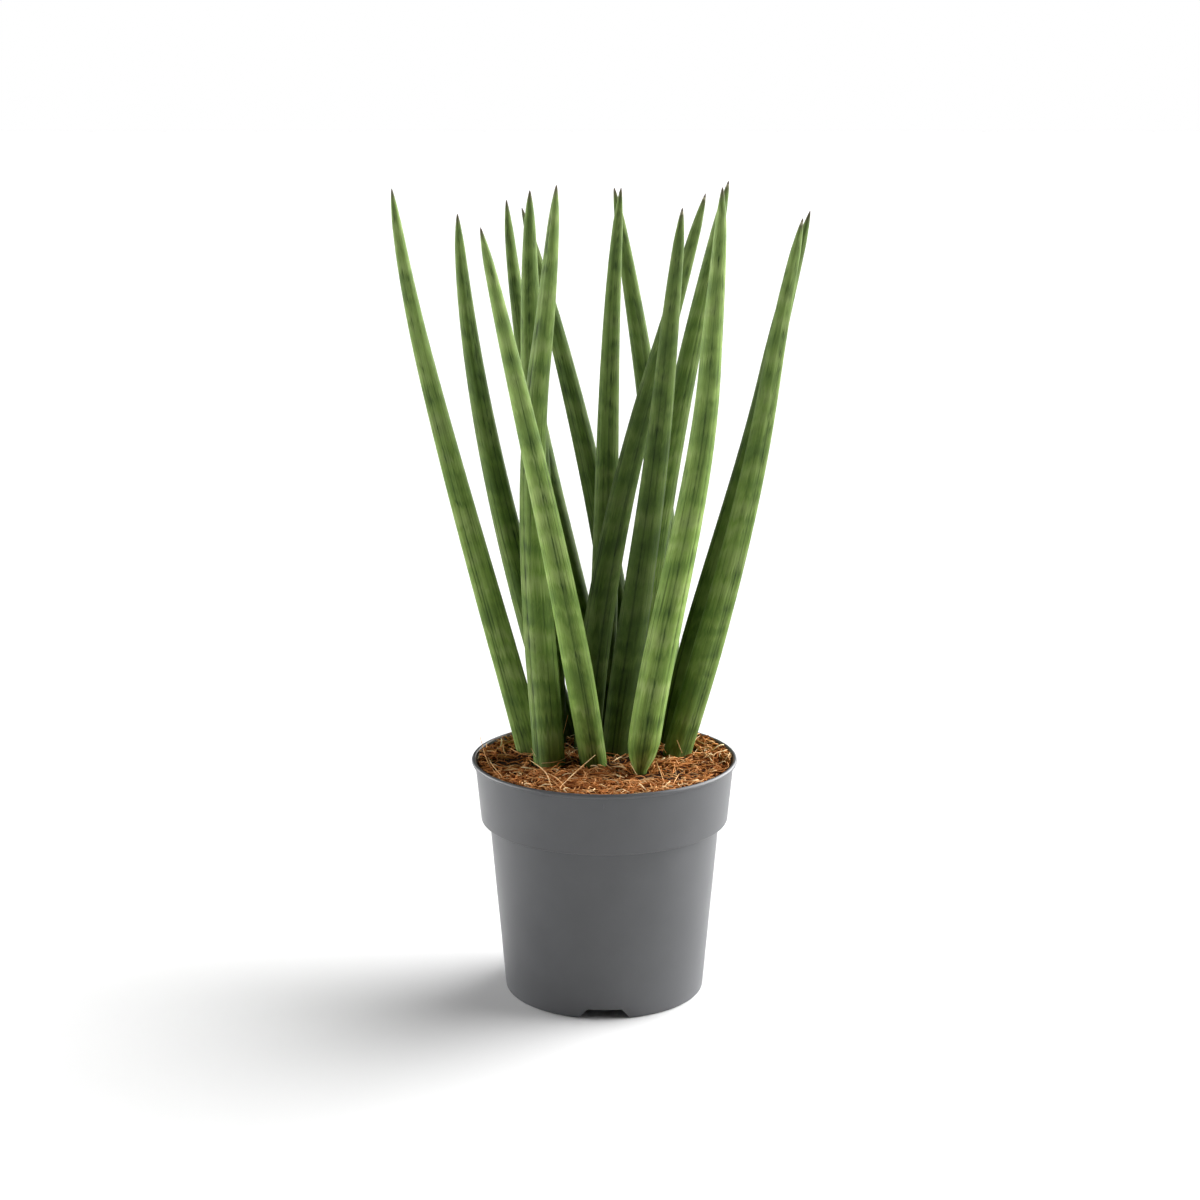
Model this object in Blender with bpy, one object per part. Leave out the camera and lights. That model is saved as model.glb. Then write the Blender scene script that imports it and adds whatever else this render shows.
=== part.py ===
"""Cylindrical snake plant: fifteen round, spiked leaves standing in a grower's pot of coir-topped soil.

Units are metres and +Z is up. The pot stands on z = 0 with its axis through the origin, and the
front of the plant faces -Y. Every leaf, the soil and the pot are solids of their own.
"""
import math
import random
from collections import namedtuple

import bmesh
import bpy
from mathutils import Matrix, Vector, noise

# Clearance between pieces that touch, and the distance within which two points are one
GAP = 0.0003
SAME_POINT = 1e-6

# Edges sharper than this stay hard on turned pieces and on leaves
TURNED_SMOOTH = math.radians(35)
LEAF_SMOOTH = math.radians(50)

# Pot: a tapered body, a wider collar above a ledge, and a rolled lip
SIDES = 48
POT_HEIGHT = 0.1090
BASE_RADIUS = 0.0454
BASE_EDGE = 0.0012
LEDGE_HEIGHT = 0.0802
BODY_TOP_RADIUS = 0.0524
COLLAR_FOOT_RADIUS = 0.0562
COLLAR_EDGE = 0.0010
COLLAR_TOP_RADIUS = 0.0587
LIP_RADIUS = 0.0603
BEAD_RADIUS = 0.0010
BEAD_FOOT_ANGLE = -125
LIP_FOOT_DROP = 0.0024
WALL = 0.0012
FLOOR = 0.0014

# Drainage channels: raised in the floor, open at the foot of the wall, with a hole in each roof
CHANNELS = 3
CHANNEL_FOOT_WIDTH = 0.0236
CHANNEL_ROOF_WIDTH = 0.0152
CHANNEL_HEIGHT = 0.0047
ROOF_GROWTH = 0.7
CHANNEL_INNER_END = 0.0140
DRAIN_PLACE = 0.0300
DRAIN_DIAMETER = 0.0070
DRAIN_SIDES = 12

# Soil: it fills the pot to just under the lip
SOIL_LEVEL = 0.1074
SOIL_EDGE_DROP = 0.0006
SOIL_RINGS = 9
RELIEF_HEIGHT = 0.0011
RELIEF_SCALE = 0.0085
RELIEF_ROUGHNESS = 0.8
RELIEF_LACUNARITY = 2.0
RELIEF_OCTAVES = 2
HOLLOWS = (
    ((-0.044, -0.005), 0.007, 0.0024),
    ((0.034, -0.022), 0.009, 0.0014),
)

# Coir strands on the soil
STRANDS = 42
STRAND_SEED = 11
STRAND_RADIUS = 0.00045
STRAND_SIDES = 3
STRAND_STEPS = 5
STRAND_LENGTH = (0.012, 0.026)
STRAND_RISE = (0.0009, 0.0026)
STRAND_SWAY = 0.0035
STRAND_ROOT = 0.0012
STRAND_CLEAR = 0.0022
STRAND_REACH = 0.0540
STRAND_LEVEL = 0.02

# Leaves: all grow by one profile, from a hard point to a full round stem
LEAF_SIDES = 14
LEAF_STATIONS = (0.995, 0.983, 0.962, 0.93, 0.885, 0.83, 0.76, 0.67, 0.57, 0.46, 0.34, 0.23, 0.13, 0.06, 0.0)
FULL_WIDTH_AT = 0.8
TAPER_POWER = 0.42
HOOK_START = 0.7
CHANNEL_DEPTH = 0.10
CHANNEL_SPREAD = math.radians(22)
FOOT_DEPTH = 0.023
FOOT_NARROWING = 0.88
AXIS_STEP = 0.01
HOLE_REACH = 0.1

# place is where the leaf leaves the soil, bow the bend at mid height, sway the S-bend and hook
# the turn of the last part, all sideways in x, with bow also in depth. foot is the width at the
# soil as a share of the full width, channel the way that the grooved side faces, in degrees
# about the leaf, and foot_start the share of the length below the tip where the foot begins.
Leaf = namedtuple("Leaf", "place tip bow sway hook width foot channel foot_start", defaults=(0.80,))
LEAVES = (
    Leaf((-0.0336, 0.0165), (-0.0940, 0.024, 0.3625), (-0.0030, 0.003), -0.0005, 0.0025, 0.0125, 1.10, 250),
    Leaf((-0.0183, 0.0440), (-0.0685, 0.080, 0.3485), (-0.0078, 0.000), -0.0005, 0.0000, 0.0136, 0.90, 300),
    Leaf((-0.0050, -0.005), (-0.0525, -0.026, 0.3485), (0.0025, -0.003), -0.0005, 0.0000, 0.0130, 0.94, 275),
    Leaf((-0.0005, 0.0490), (-0.0460, 0.090, 0.3545), (-0.0065, -0.003), -0.0025, -0.0045, 0.0125, 0.90, 60),
    Leaf((0.0130, 0.0460), (-0.0380, 0.066, 0.3520), (0.0060, 0.004), -0.0005, 0.0000, 0.0130, 0.88, 235),
    Leaf((-0.0245, 0.0295), (-0.0335, 0.042, 0.3610), (-0.0020, -0.002), -0.0005, 0.0000, 0.0155, 0.88, 262),
    Leaf((-0.0255, -0.004), (-0.0210, 0.014, 0.3645), (-0.0150, 0.005), -0.0025, -0.0120, 0.0145, 0.85, 222),
    Leaf((0.0250, 0.0410), (0.0045, 0.068, 0.3610), (0.0095, 0.002), -0.0015, 0.0000, 0.0140, 0.80, 285),
    Leaf((-0.0030, 0.0355), (0.0075, 0.044, 0.3620), (-0.0010, 0.002), -0.0010, 0.0000, 0.0130, 0.90, 280),
    Leaf((0.0050, 0.0145), (0.0335, -0.004, 0.3555), (0.0040, -0.003), 0.0010, 0.0040, 0.0140, 0.92, 255),
    Leaf((-0.0080, 0.0215), (0.0445, 0.020, 0.3605), (-0.0100, 0.000), 0.0005, -0.0035, 0.0135, 0.90, 290),
    Leaf((0.0145, 0.0280), (0.0560, 0.046, 0.3650), (-0.0065, 0.000), 0.0010, 0.0000, 0.0145, 0.90, 120),
    Leaf((0.0161, -0.018), (0.0491, -0.034, 0.3655), (0.011, -0.004), 0.004, 0.0105, 0.0145, 0.40, 268, 0.94),
    Leaf((0.0320, 0.0295), (0.0895, 0.050, 0.3480), (0.0060, -0.003), 0.0030, 0.0070, 0.0140, 0.88, 20),
    Leaf((0.0335, 0.0115), (0.0880, 0.002, 0.3540), (0.0070, -0.004), 0.0010, 0.0085, 0.0135, 0.95, 300),
)
SWAY_SCALE = 6 * math.sqrt(3)

POT_GREY = (0.105, 0.107, 0.112, 1.0)
POT_ROUGHNESS = 0.45
COIR_BROWN = (0.250, 0.105, 0.040, 1.0)
COIR_ROUGHNESS = 0.95
LEAF_GREEN = (0.090, 0.190, 0.035, 1.0)
LEAF_ROUGHNESS = 0.5


def clear_scene():
    for thing in list(bpy.data.objects):
        bpy.data.objects.remove(thing, do_unlink=True)


def plain_material(name, colour, roughness):
    material = bpy.data.materials.new(name)
    material.use_nodes = True
    shader = material.node_tree.nodes["Principled BSDF"]
    shader.inputs["Base Color"].default_value = colour
    shader.inputs["Roughness"].default_value = roughness
    shader.inputs["Metallic"].default_value = 0.0
    return material


def finish_object(name, bm, material=None, smooth_angle=None):
    """Turn a bmesh into an object in the scene, with its faces pointing out."""
    bmesh.ops.recalc_face_normals(bm, faces=bm.faces)
    mesh = bpy.data.meshes.new(name)
    bm.to_mesh(mesh)
    bm.free()
    if smooth_angle is not None:
        mesh.shade_smooth()
        mesh.set_sharp_from_angle(angle=smooth_angle)
    thing = bpy.data.objects.new(name, mesh)
    bpy.context.scene.collection.objects.link(thing)
    if material is not None:
        mesh.materials.append(material)
    return thing


def as_cutter(thing):
    thing.hide_render = True
    thing.display_type = "WIRE"
    return thing


def cut(thing, cutter):
    """Take the cutter away from the object, as a modifier that stays on it."""
    step = thing.modifiers.new("cut_" + cutter.name, "BOOLEAN")
    step.operation = "DIFFERENCE"
    step.solver = "EXACT"
    step.object = cutter


def turned_solid(name, outline, material=None):
    """Spin an outline of (radius, height) points, which starts and ends on the axis, about +Z."""
    bm = bmesh.new()
    verts = [bm.verts.new((radius, 0.0, height)) for radius, height in outline]
    edges = [bm.edges.new(pair) for pair in zip(verts, verts[1:])]
    bmesh.ops.spin(
        bm,
        geom=verts + edges,
        cent=(0.0, 0.0, 0.0),
        axis=(0.0, 0.0, 1.0),
        angle=2 * math.pi,
        steps=SIDES,
        use_merge=True,
    )
    bmesh.ops.remove_doubles(bm, verts=bm.verts, dist=SAME_POINT)
    return finish_object(name, bm, material, TURNED_SMOOTH)


def arc(centre, radius, start, end, steps):
    """Points on a circle in the (radius, height) plane, angles in degrees from outwards, up."""
    points = []
    for step in range(steps + 1):
        angle = math.radians(start + (end - start) * step / steps)
        points.append((centre[0] + radius * math.cos(angle), centre[1] + radius * math.sin(angle)))
    return points


def body_radius(height):
    return BASE_RADIUS + (BODY_TOP_RADIUS - BASE_RADIUS) * height / LEDGE_HEIGHT


def collar_radius(height):
    share = (height - LEDGE_HEIGHT) / (POT_HEIGHT - LEDGE_HEIGHT)
    return COLLAR_FOOT_RADIUS + (COLLAR_TOP_RADIUS - COLLAR_FOOT_RADIUS) * share


def pot_outline():
    """The pot's outer face, from the middle of its underside up and over to the lip."""
    bead_centre = (LIP_RADIUS - BEAD_RADIUS, POT_HEIGHT - BEAD_RADIUS)
    base_edge_centre = (body_radius(BASE_EDGE) - BASE_EDGE, BASE_EDGE)
    collar_edge_centre = (COLLAR_FOOT_RADIUS - COLLAR_EDGE, LEDGE_HEIGHT + COLLAR_EDGE)
    outline = [(0.0, 0.0)]
    outline += arc(base_edge_centre, BASE_EDGE, -90, 0, 2)
    outline += [(body_radius(LEDGE_HEIGHT), LEDGE_HEIGHT)]
    outline += arc(collar_edge_centre, COLLAR_EDGE, -90, 0, 2)
    outline += arc(bead_centre, BEAD_RADIUS, BEAD_FOOT_ANGLE, 90, 5)
    outline += [(0.0, POT_HEIGHT)]
    return outline


def cavity_outline(clearance):
    """The pot's inner face, drawn in from it by a clearance, up to the top of the pot."""
    floor = FLOOR + clearance
    step = LEDGE_HEIGHT + WALL + clearance
    lip_foot = POT_HEIGHT - LIP_FOOT_DROP
    return [
        (0.0, floor),
        (body_radius(floor) - WALL - clearance, floor),
        (body_radius(step) - WALL - clearance, step),
        (collar_radius(step) - WALL - clearance, step),
        (collar_radius(lip_foot) - WALL - clearance, lip_foot),
    ]


def channel_bar(name, turn, growth):
    """A trapezoid bar that lies along one drainage channel, grown on every side by a wall."""
    splay = (CHANNEL_FOOT_WIDTH - CHANNEL_ROOF_WIDTH) / 2
    slope = math.hypot(CHANNEL_HEIGHT, splay) / CHANNEL_HEIGHT
    foot = CHANNEL_FOOT_WIDTH / 2 + growth * slope
    roof = CHANNEL_ROOF_WIDTH / 2 + growth * slope * ROOF_GROWTH
    section = [
        (-foot - splay, -CHANNEL_HEIGHT),
        (foot + splay, -CHANNEL_HEIGHT),
        (roof, CHANNEL_HEIGHT + growth),
        (-roof, CHANNEL_HEIGHT + growth),
    ]
    bm = bmesh.new()
    start = CHANNEL_INNER_END - growth
    verts = [bm.verts.new((across, -start, height)) for across, height in section]
    face = bm.faces.new(verts)
    grown = bmesh.ops.extrude_face_region(bm, geom=[face])
    moved = [item for item in grown["geom"] if isinstance(item, bmesh.types.BMVert)]
    bmesh.ops.translate(bm, verts=moved, vec=(0.0, -LIP_RADIUS, 0.0))
    bmesh.ops.rotate(bm, verts=bm.verts, cent=(0, 0, 0), matrix=Matrix.Rotation(turn, 3, "Z"))
    return as_cutter(finish_object(name, bm))


def drain_cutter(name, turn):
    bm = bmesh.new()
    spot = Matrix.Rotation(turn, 4, "Z") @ Matrix.Translation((0.0, -DRAIN_PLACE, CHANNEL_HEIGHT))
    bmesh.ops.create_cone(
        bm,
        cap_ends=True,
        segments=DRAIN_SIDES,
        radius1=DRAIN_DIAMETER / 2,
        radius2=DRAIN_DIAMETER / 2,
        depth=4 * WALL,
        matrix=spot,
    )
    return as_cutter(finish_object(name, bm))


def build_pot():
    """One moulded shell: the outer solid, less a cavity that leaves walls over the channels."""
    pot = turned_solid("pot", pot_outline(), plain_material("pot_plastic", POT_GREY, POT_ROUGHNESS))
    mouth = (LIP_RADIUS - 2 * BEAD_RADIUS, POT_HEIGHT - BEAD_RADIUS)
    top = [mouth, (mouth[0], POT_HEIGHT + WALL), (0.0, POT_HEIGHT + WALL)]
    cavity = as_cutter(turned_solid("cut_cavity", cavity_outline(0.0) + top))
    for number in range(CHANNELS):
        turn = 2 * math.pi * number / CHANNELS
        cut(cavity, channel_bar("cut_ridge_%d" % number, turn, WALL))
        cut(pot, channel_bar("cut_channel_%d" % number, turn, 0.0))
    cut(pot, cavity)
    for number in range(CHANNELS):
        turn = 2 * math.pi * number / CHANNELS
        cut(pot, drain_cutter("cut_drain_%d" % number, turn))
    return pot


def leaf_axis(leaf, share):
    """The leaf's centre at a share of its height, 0 at the soil and 1 at the tip."""
    arch = 4 * share * (1 - share)
    late = max(0.0, (share - HOOK_START) / (1 - HOOK_START)) ** 2
    s_bend = SWAY_SCALE * share * (1 - share) * (2 * share - 1)
    lean = (leaf.tip[0] - leaf.hook - leaf.place[0]) * share
    x = leaf.place[0] + lean + leaf.bow[0] * arch + leaf.sway * s_bend + leaf.hook * late
    y = leaf.place[1] + (leaf.tip[1] - leaf.place[1]) * share + leaf.bow[1] * arch
    z = SOIL_LEVEL + (leaf.tip[2] - SOIL_LEVEL) * share
    return Vector((x, y, z))


def leaf_radius(leaf, share):
    from_tip = 1 - share
    full = min(1.0, from_tip / FULL_WIDTH_AT) ** TAPER_POWER
    into_foot = max(0.0, (from_tip - leaf.foot_start) / (1 - leaf.foot_start))
    return leaf.width / 2 * full * (1 - (1 - leaf.foot) * into_foot ** 2)


def leaf_rings(leaf):
    """Centre, direction and radius of each ring, from the tip down and on into the soil."""
    rings = []
    for share in LEAF_STATIONS:
        ahead = leaf_axis(leaf, min(1.0, share + AXIS_STEP))
        behind = leaf_axis(leaf, max(0.0, share - AXIS_STEP))
        rings.append((leaf_axis(leaf, share), (ahead - behind).normalized(), leaf_radius(leaf, share)))
    base = leaf_axis(leaf, 0.0)
    buried = leaf_radius(leaf, 0.0) * FOOT_NARROWING
    rings.append((base - Vector((0, 0, FOOT_DEPTH / 2)), Vector((0, 0, 1)), buried))
    rings.append((base - Vector((0, 0, FOOT_DEPTH)), Vector((0, 0, 1)), buried))
    return rings


def add_ring(bm, centre, direction, radius, channel, growth):
    """One closed ring of edges square to the leaf, pressed in along the grooved side."""
    side = Vector((1, 0, 0)) - direction * direction.x
    side.normalize()
    across = direction.cross(side)
    verts = []
    for number in range(LEAF_SIDES):
        angle = channel + 2 * math.pi * number / LEAF_SIDES
        off = math.remainder(angle - channel, 2 * math.pi)
        pressed = radius * (1 - CHANNEL_DEPTH * math.exp(-((off / CHANNEL_SPREAD) ** 2)))
        outward = side * math.cos(angle) + across * math.sin(angle)
        verts.append(bm.verts.new(centre + outward * (pressed + growth)))
    return [bm.edges.new(pair) for pair in zip(verts, verts[1:] + verts[:1])]


def leaf_solid(name, leaf, rings, growth=0.0, material=None, point=None):
    """Bridge the rings into one closed skin, with a point or a flat cap at the top."""
    bm = bmesh.new()
    channel = math.radians(leaf.channel)
    loops = []
    for centre, direction, radius in rings:
        loops.append(add_ring(bm, centre, direction, radius, channel, growth))
    for upper, lower in zip(loops, loops[1:]):
        bmesh.ops.bridge_loops(bm, edges=upper + lower)
    if point is None:
        bmesh.ops.contextual_create(bm, geom=loops[0])
    else:
        tip = bm.verts.new(point)
        for edge in loops[0]:
            bm.faces.new((edge.verts[0], edge.verts[1], tip))
    bmesh.ops.contextual_create(bm, geom=loops[-1])
    return finish_object(name, bm, material, LEAF_SMOOTH)


def build_leaves():
    material = plain_material("leaf_skin", LEAF_GREEN, LEAF_ROUGHNESS)
    for number, leaf in enumerate(LEAVES, start=1):
        leaf_solid("leaf_%02d" % number, leaf, leaf_rings(leaf), material=material, point=leaf.tip)


def soil_height(x, y):
    """Height of the soil's surface: a clumped, matted relief with a few hollows."""
    spot = Vector((x, y, 0.0)) / RELIEF_SCALE
    relief = noise.fractal(
        spot, RELIEF_ROUGHNESS, RELIEF_LACUNARITY, RELIEF_OCTAVES, noise_basis="PERLIN_ORIGINAL"
    )
    height = SOIL_LEVEL + RELIEF_HEIGHT * relief
    for place, reach, depth in HOLLOWS:
        away = math.hypot(x - place[0], y - place[1]) / reach
        height -= depth * math.exp(-away * away)
    return height


def soil_edge_ring():
    """Radius and height of the soil where it meets the pot's wall."""
    height = SOIL_LEVEL - SOIL_EDGE_DROP
    return collar_radius(height) - WALL - GAP, height


def soil_bulk():
    """The filling of the pot, a clearance inside its cavity, with the relief on top."""
    edge_radius, edge_height = soil_edge_ring()
    outline = cavity_outline(GAP)[:-1] + [(edge_radius, edge_height)]
    for ring in range(1, SOIL_RINGS):
        outline.append((edge_radius * (1 - ring / SOIL_RINGS), SOIL_LEVEL))
    outline.append((0.0, SOIL_LEVEL))
    soil = turned_solid("soil", outline, plain_material("coir_soil", COIR_BROWN, COIR_ROUGHNESS))
    for vert in soil.data.vertices:
        if vert.co.z > SOIL_LEVEL - SOIL_EDGE_DROP / 2:
            vert.co.z = soil_height(vert.co.x, vert.co.y)
    for number in range(CHANNELS):
        turn = 2 * math.pi * number / CHANNELS
        cut(soil, channel_bar("cut_soil_%d" % number, turn, WALL + GAP))
    return soil


def leaf_hole(number, leaf):
    """A grown copy of the leaf's buried foot and of its lowest stretch above the soil."""
    rings = leaf_rings(leaf)
    low = [ring for ring, share in zip(rings, LEAF_STATIONS) if share < HOLE_REACH]
    buried = rings[len(LEAF_STATIONS):]
    bottom, up, radius = buried[-1]
    deeper = (bottom - Vector((0, 0, GAP)), up, radius)
    return leaf_solid("hole_%02d" % number, leaf, low + buried[:-1] + [deeper], growth=GAP)


def strand_path(rng):
    """Points of one strand that arches out of the soil and back, or None where a leaf is near."""
    reach = STRAND_REACH * math.sqrt(rng.random())
    around = rng.uniform(0, 2 * math.pi)
    heading = rng.uniform(0, 2 * math.pi)
    length = rng.uniform(*STRAND_LENGTH)
    rise = rng.uniform(*STRAND_RISE)
    sway = rng.uniform(-STRAND_SWAY, STRAND_SWAY)
    middle = Vector((reach * math.cos(around), reach * math.sin(around)))
    along = Vector((math.cos(heading), math.sin(heading)))
    across = Vector((-along.y, along.x))
    points = []
    for step in range(STRAND_STEPS + 1):
        share = step / STRAND_STEPS
        flat = middle + along * length * (share - 0.5) + across * sway * math.sin(math.pi * share)
        if flat.length > STRAND_REACH:
            return None
        for leaf in LEAVES:
            lean = leaf_axis(leaf, STRAND_LEVEL)
            if (flat - Vector((lean.x, lean.y))).length < leaf.width / 2 + STRAND_CLEAR:
                return None
        lift = (rise + STRAND_ROOT) * math.sin(math.pi * share) - STRAND_ROOT
        points.append(Vector((flat.x, flat.y, soil_height(flat.x, flat.y) + lift)))
    return points


def strand_solid(name, points):
    """A thin closed tube of a few sides along the strand's points."""
    bm = bmesh.new()
    loops = []
    for number, point in enumerate(points):
        ahead = points[min(number + 1, len(points) - 1)]
        behind = points[max(number - 1, 0)]
        direction = (ahead - behind).normalized()
        side = direction.cross(Vector((0, 0, 1))).normalized()
        up = side.cross(direction)
        verts = []
        for corner in range(STRAND_SIDES):
            angle = math.pi / 2 + 2 * math.pi * corner / STRAND_SIDES
            offset = (side * math.cos(angle) + up * math.sin(angle)) * STRAND_RADIUS
            verts.append(bm.verts.new(point + offset))
        pairs = zip(verts, verts[1:] + verts[:1])
        loops.append([bm.edges.new(pair) for pair in pairs])
    for first, second in zip(loops, loops[1:]):
        bmesh.ops.bridge_loops(bm, edges=first + second)
    bmesh.ops.contextual_create(bm, geom=loops[0])
    bmesh.ops.contextual_create(bm, geom=loops[-1])
    return finish_object(name, bm)


def apply_collection(thing, tools, operation):
    """Join or cut an object with a whole collection, apply it, and remove the collection."""
    group = bpy.data.collections.new("tools")
    bpy.context.scene.collection.children.link(group)
    for tool in tools:
        bpy.context.scene.collection.objects.unlink(tool)
        group.objects.link(tool)
    step = thing.modifiers.new(operation.lower(), "BOOLEAN")
    step.operation = operation
    step.solver = "EXACT"
    step.operand_type = "COLLECTION"
    step.collection = group
    bpy.context.view_layer.objects.active = thing
    for modifier in list(thing.modifiers):
        bpy.ops.object.modifier_apply(modifier=modifier.name)
    for tool in tools:
        bpy.data.objects.remove(tool, do_unlink=True)
    bpy.data.collections.remove(group)


def build_soil():
    soil = soil_bulk()
    holes = [leaf_hole(number, leaf) for number, leaf in enumerate(LEAVES)]
    apply_collection(soil, holes, "DIFFERENCE")
    rng = random.Random(STRAND_SEED)
    strands = []
    while len(strands) < STRANDS:
        points = strand_path(rng)
        if points:
            strands.append(strand_solid("strand_%02d" % len(strands), points))
    apply_collection(soil, strands, "UNION")
    return soil


clear_scene()
build_pot()
build_soil()
build_leaves()
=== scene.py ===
import math
import random

import bpy
import numpy as np
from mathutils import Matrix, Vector, noise


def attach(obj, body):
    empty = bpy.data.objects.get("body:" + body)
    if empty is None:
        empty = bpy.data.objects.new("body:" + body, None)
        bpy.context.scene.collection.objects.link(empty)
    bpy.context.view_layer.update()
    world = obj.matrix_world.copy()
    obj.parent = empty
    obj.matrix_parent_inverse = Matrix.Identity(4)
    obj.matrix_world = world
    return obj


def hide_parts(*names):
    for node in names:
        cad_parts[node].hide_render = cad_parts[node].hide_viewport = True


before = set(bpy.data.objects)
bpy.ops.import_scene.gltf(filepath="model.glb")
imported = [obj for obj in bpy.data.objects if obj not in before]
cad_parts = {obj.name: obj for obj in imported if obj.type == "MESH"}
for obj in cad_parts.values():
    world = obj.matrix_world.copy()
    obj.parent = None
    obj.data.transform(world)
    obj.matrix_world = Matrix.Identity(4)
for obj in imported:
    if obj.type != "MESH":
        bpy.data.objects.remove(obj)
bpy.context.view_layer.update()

bpy.ops.object.select_all(action="DESELECT")

# Camera
# A catalogue view: the camera stands a metre in front of the plant, a little above it, and
# looks slightly down, through a lens long enough to keep the leaves straight.
EYE = (-0.0020, -1.0210, 0.4070)
LOOK_DOWN = math.radians(12.45)
LENS = 70.0
SENSOR = 36.0

bpy.ops.object.camera_add(location=EYE, rotation=(math.pi / 2 - LOOK_DOWN, 0.0, 0.0))
camera = bpy.context.object
camera.data.lens = LENS
camera.data.sensor_width = SENSOR
bpy.context.scene.camera = camera

# Room
# A photographer's table: a large softbox stands on the right, a little behind the plant, and a low one
# on the left. Between them the room is dim, so the leaves are light at both sides and dark in front.
# In degrees, around is counted from +X towards +Y and height from the horizon up. A softbox is full
# within its core and fades out at its reach.
SOFTBOXES = (
    dict(around=24, height=16, reach=52, core=22, strength=9.4),
    dict(around=164, height=-9, reach=50, core=21, strength=8.2),
)
ROOM_LIGHT = 0.03
BACK_LIGHT = 0.08
BACK_START = -0.3
BACK_FULL = 0.7
WHITE = (1.0, 1.0, 1.0, 1.0)


def feed(tree, socket, value):
    """Give an input a value, or the output that drives it."""
    if isinstance(value, bpy.types.NodeSocket):
        tree.links.new(value, socket)
    else:
        socket.default_value = value


def put(tree, kind, inputs, **settings):
    """Add a node with its settings, and feed its inputs by name or by number."""
    new = tree.nodes.new("ShaderNode" + kind)
    for name, value in settings.items():
        setattr(new, name, value)
    for name, value in inputs.items():
        feed(tree, new.inputs[name], value)
    return new


def maths(tree, operation, *values):
    """A sum, product or the like of values or of the outputs that drive them."""
    return put(tree, "Math", dict(enumerate(values)), operation=operation).outputs["Value"]


def ramp(tree, factor, stops):
    """A colour ramp over (position, colour) stops."""
    new = put(tree, "ValToRGB", {"Fac": factor})
    for number, (position, colour) in enumerate(stops):
        if number < 2:
            element = new.color_ramp.elements[number]
            element.position = position
        else:
            element = new.color_ramp.elements.new(position)
        element.color = colour + (1.0,)
    return new.outputs["Color"]


world = bpy.data.worlds.new("white_room")
bpy.context.scene.world = world
world.use_nodes = True
tree = world.node_tree
tree.nodes.clear()
way = put(tree, "TexCoord", {}).outputs["Generated"]
axes = put(tree, "SeparateXYZ", {"Vector": way}).outputs
light = put(tree, "MapRange", {
    "Value": axes["Y"], "From Min": BACK_START, "From Max": BACK_FULL,
    "To Min": ROOM_LIGHT, "To Max": ROOM_LIGHT + BACK_LIGHT,
}).outputs["Result"]
for box in SOFTBOXES:
    around, height = math.radians(box["around"]), math.radians(box["height"])
    centre = (math.cos(height) * math.cos(around), math.cos(height) * math.sin(around), math.sin(height))
    towards = put(tree, "VectorMath", {0: way, 1: centre}, operation="DOT_PRODUCT").outputs["Value"]
    share = put(tree, "MapRange", {
        "Value": towards,
        "From Min": math.cos(math.radians(box["reach"])),
        "From Max": math.cos(math.radians(box["core"])),
    }, interpolation_type="SMOOTHSTEP").outputs["Result"]
    light = maths(tree, "MULTIPLY_ADD", share, box["strength"], light)
glow = put(tree, "Background", {"Color": WHITE, "Strength": light})
backdrop = put(tree, "Background", {"Color": WHITE})
seen = put(tree, "LightPath", {}).outputs["Is Camera Ray"]
chosen = put(tree, "MixShader", {0: seen, 1: glow.outputs[0], 2: backdrop.outputs[0]})
put(tree, "OutputWorld", {"Surface": chosen.outputs[0]})
bpy.context.scene.view_settings.view_transform = "Standard"

# Floor
# A plain white floor, wide enough to pass out of every view.
FLOOR_SIZE = 40.0
FLOOR_WHITE = (0.83, 0.83, 0.83, 1.0)
FLOOR_ROUGHNESS = 0.9
FLOOR_SHINE = 0.2


def new_material(name):
    """A material, its node tree and the shader in it."""
    material = bpy.data.materials.new(name)
    material.use_nodes = True
    return material, material.node_tree, material.node_tree.nodes["Principled BSDF"]


bpy.ops.mesh.primitive_plane_add(size=FLOOR_SIZE, location=(0.0, 0.0, 0.0))
floor = bpy.context.object
floor.name = "floor"
paint, tree, shader = new_material("white_floor")
feed(tree, shader.inputs["Base Color"], FLOOR_WHITE)
feed(tree, shader.inputs["Roughness"], FLOOR_ROUGHNESS)
feed(tree, shader.inputs["Specular IOR Level"], FLOOR_SHINE)
floor.data.materials.append(paint)

# Pot
# An injection-moulded polypropylene grower's pot: a tapered body, a wider collar above a ledge and
# a rolled lip. Three drainage channels run out under its floor and open as notches in the foot of
# the wall, each with a hole in its roof. It is shaped as a solid and then hollowed.
POT_SIDES = 144
POT_HEIGHT = 0.1090
BASE_RADIUS = 0.0454
BASE_EDGE = 0.0012
EDGE_STEPS = 5
LEDGE_HEIGHT = 0.0802
BODY_TOP_RADIUS = 0.0524
COLLAR_FOOT_RADIUS = 0.0562
COLLAR_EDGE = 0.0010
COLLAR_TOP_RADIUS = 0.0587
LIP_RADIUS = 0.0603
BEAD_RADIUS = 0.0010
BEAD_FOOT_ANGLE = -125
BEAD_END_ANGLE = 96
BEAD_STEPS = 16
INNER_BEAD_STEPS = 7
LIP_FOOT_DROP = 0.0024
WALL = 0.0012
FLOOR_THICKNESS = 0.0014
CHANNELS = 3
CHANNEL_FOOT_WIDTH = 0.0236
CHANNEL_ROOF_WIDTH = 0.0152
CHANNEL_HEIGHT = 0.0047
CHANNEL_INNER_END = 0.0140
ROOF_GROWTH = 0.7
DRAIN_PLACE = 0.0300
DRAIN_RADIUS = 0.0035
DRAIN_LENGTH = 4 * WALL
DRAIN_SIDES = 32
POT_SMOOTH = math.radians(30)


def arc(centre, radius, start, end, steps):
    """Points on a circle in the (radius, height) plane, angles in degrees from outwards, up."""
    points = []
    for step in range(steps + 1):
        angle = math.radians(start + (end - start) * step / steps)
        points.append((centre[0] + radius * math.cos(angle), centre[1] + radius * math.sin(angle)))
    return points


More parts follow.
